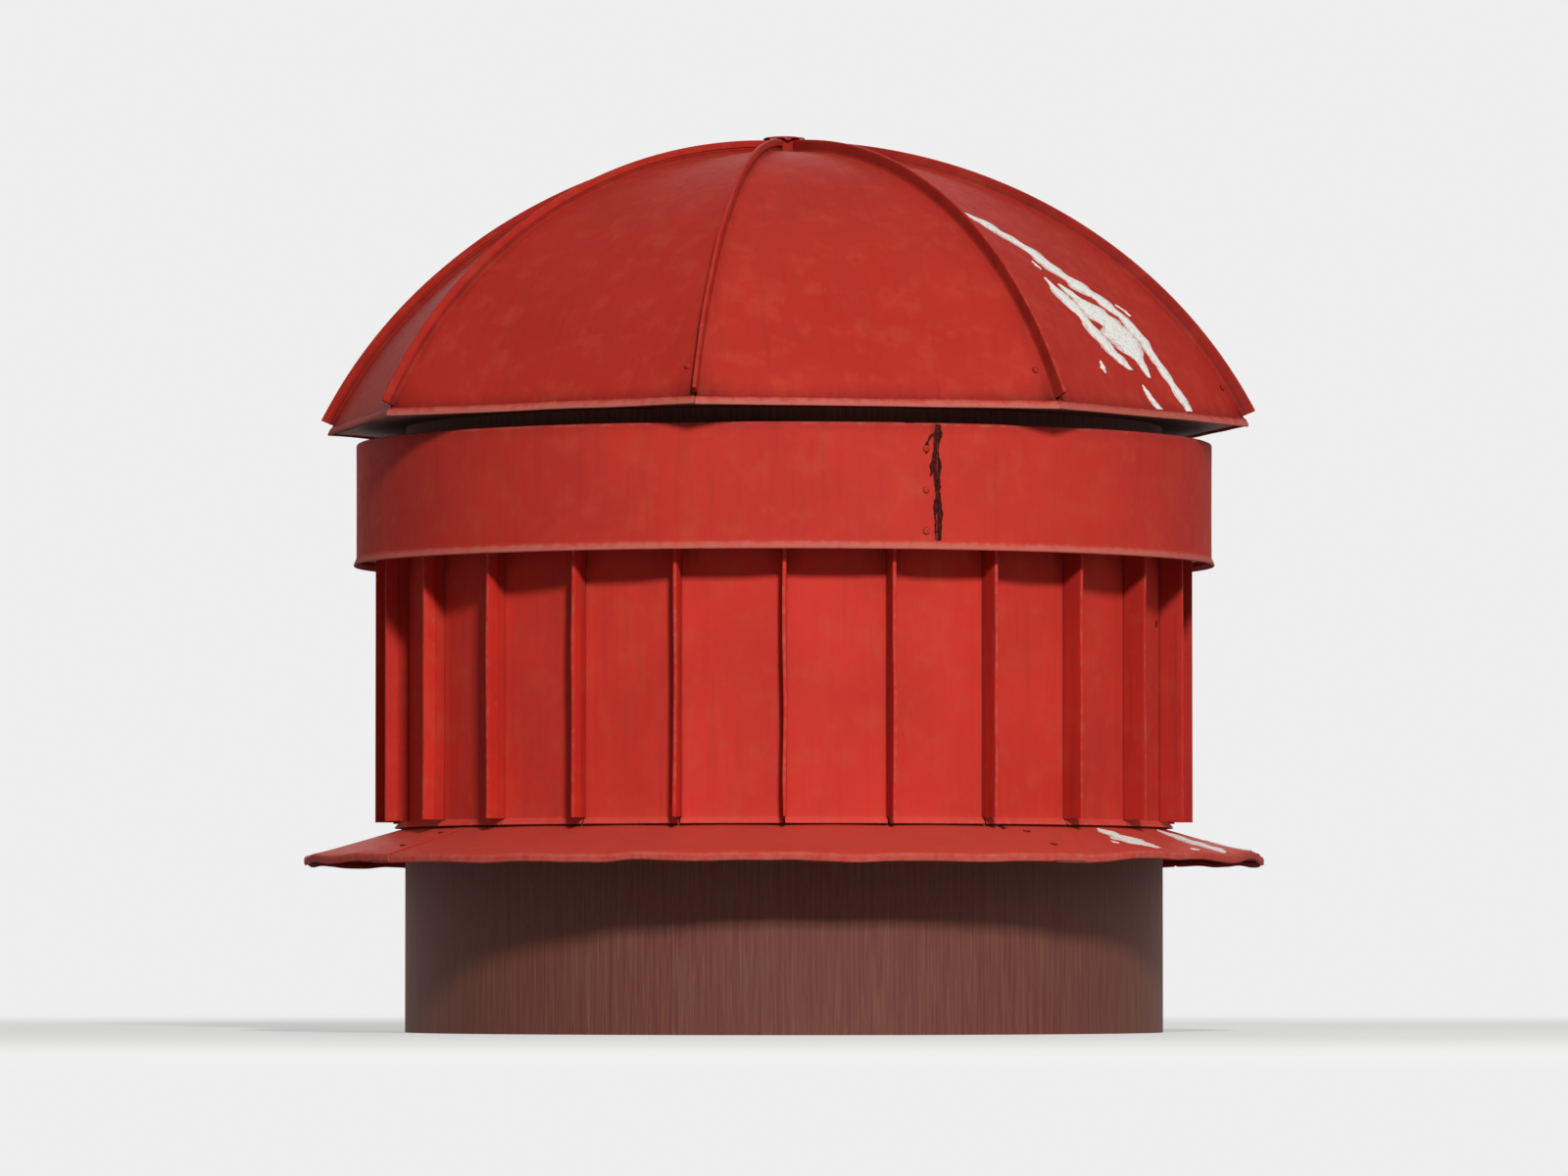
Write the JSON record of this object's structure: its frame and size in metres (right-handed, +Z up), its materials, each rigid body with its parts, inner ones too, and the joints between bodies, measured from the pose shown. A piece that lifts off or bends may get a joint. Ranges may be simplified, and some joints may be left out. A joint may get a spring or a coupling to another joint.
{
  "type": "round roof cupola",
  "caption": "Round roof cupola in red standing seam sheet: conical apron, pan clad drum, plain band and faceted dome on a plywood curb.",
  "frame": {"origin": "centre of the curb's flat underside", "axes": "+Z up along the drum's axis; the front, which one drum seam faces squarely, looks along -Y; +X is to the right seen from the front"},
  "size_m": [0.874, 0.874, 0.818],
  "materials": {
    "red_sheet": "weathered satin red factory paint",
    "plywood": "raw and aged inside, brushed with red oxide primer outside"
  },
  "bodies": {
    "root": {"curb_ring": "plywood", "drum_wall_1": "plywood", "drum_wall_2": "plywood", "drum_wall_3": "plywood", "drum_wall_4": "plywood", "apron_1": "red_sheet", "apron_2": "red_sheet", "apron_3": "red_sheet", "apron_4": "red_sheet", "drum_pan_1": "red_sheet", "drum_pan_2": "red_sheet", "drum_pan_3": "red_sheet", "drum_pan_4": "red_sheet", "drum_pan_5": "red_sheet", "drum_pan_6": "red_sheet", "drum_pan_7": "red_sheet", "drum_pan_8": "red_sheet", "drum_pan_9": "red_sheet", "drum_pan_10": "red_sheet", "drum_pan_11": "red_sheet", "drum_pan_12": "red_sheet", "drum_pan_13": "red_sheet", "drum_pan_14": "red_sheet", "drum_pan_15": "red_sheet", "drum_pan_16": "red_sheet", "drum_pan_17": "red_sheet", "drum_pan_18": "red_sheet", "drum_pan_19": "red_sheet", "drum_pan_20": "red_sheet", "drum_pan_21": "red_sheet", "drum_pan_22": "red_sheet", "drum_pan_23": "red_sheet", "drum_pan_24": "red_sheet", "band_blocking": "plywood", "band_1": "red_sheet", "band_2": "red_sheet", "eave_plate": "plywood", "hip_ribs": "plywood", "dome_hub": "plywood", "dome_gore_1": "red_sheet", "dome_gore_2": "red_sheet", "dome_gore_3": "red_sheet", "dome_gore_4": "red_sheet", "dome_gore_5": "red_sheet", "dome_gore_6": "red_sheet", "dome_gore_7": "red_sheet", "dome_gore_8": "red_sheet", "apex_cap": "red_sheet"}
  },
  "joints": []
}
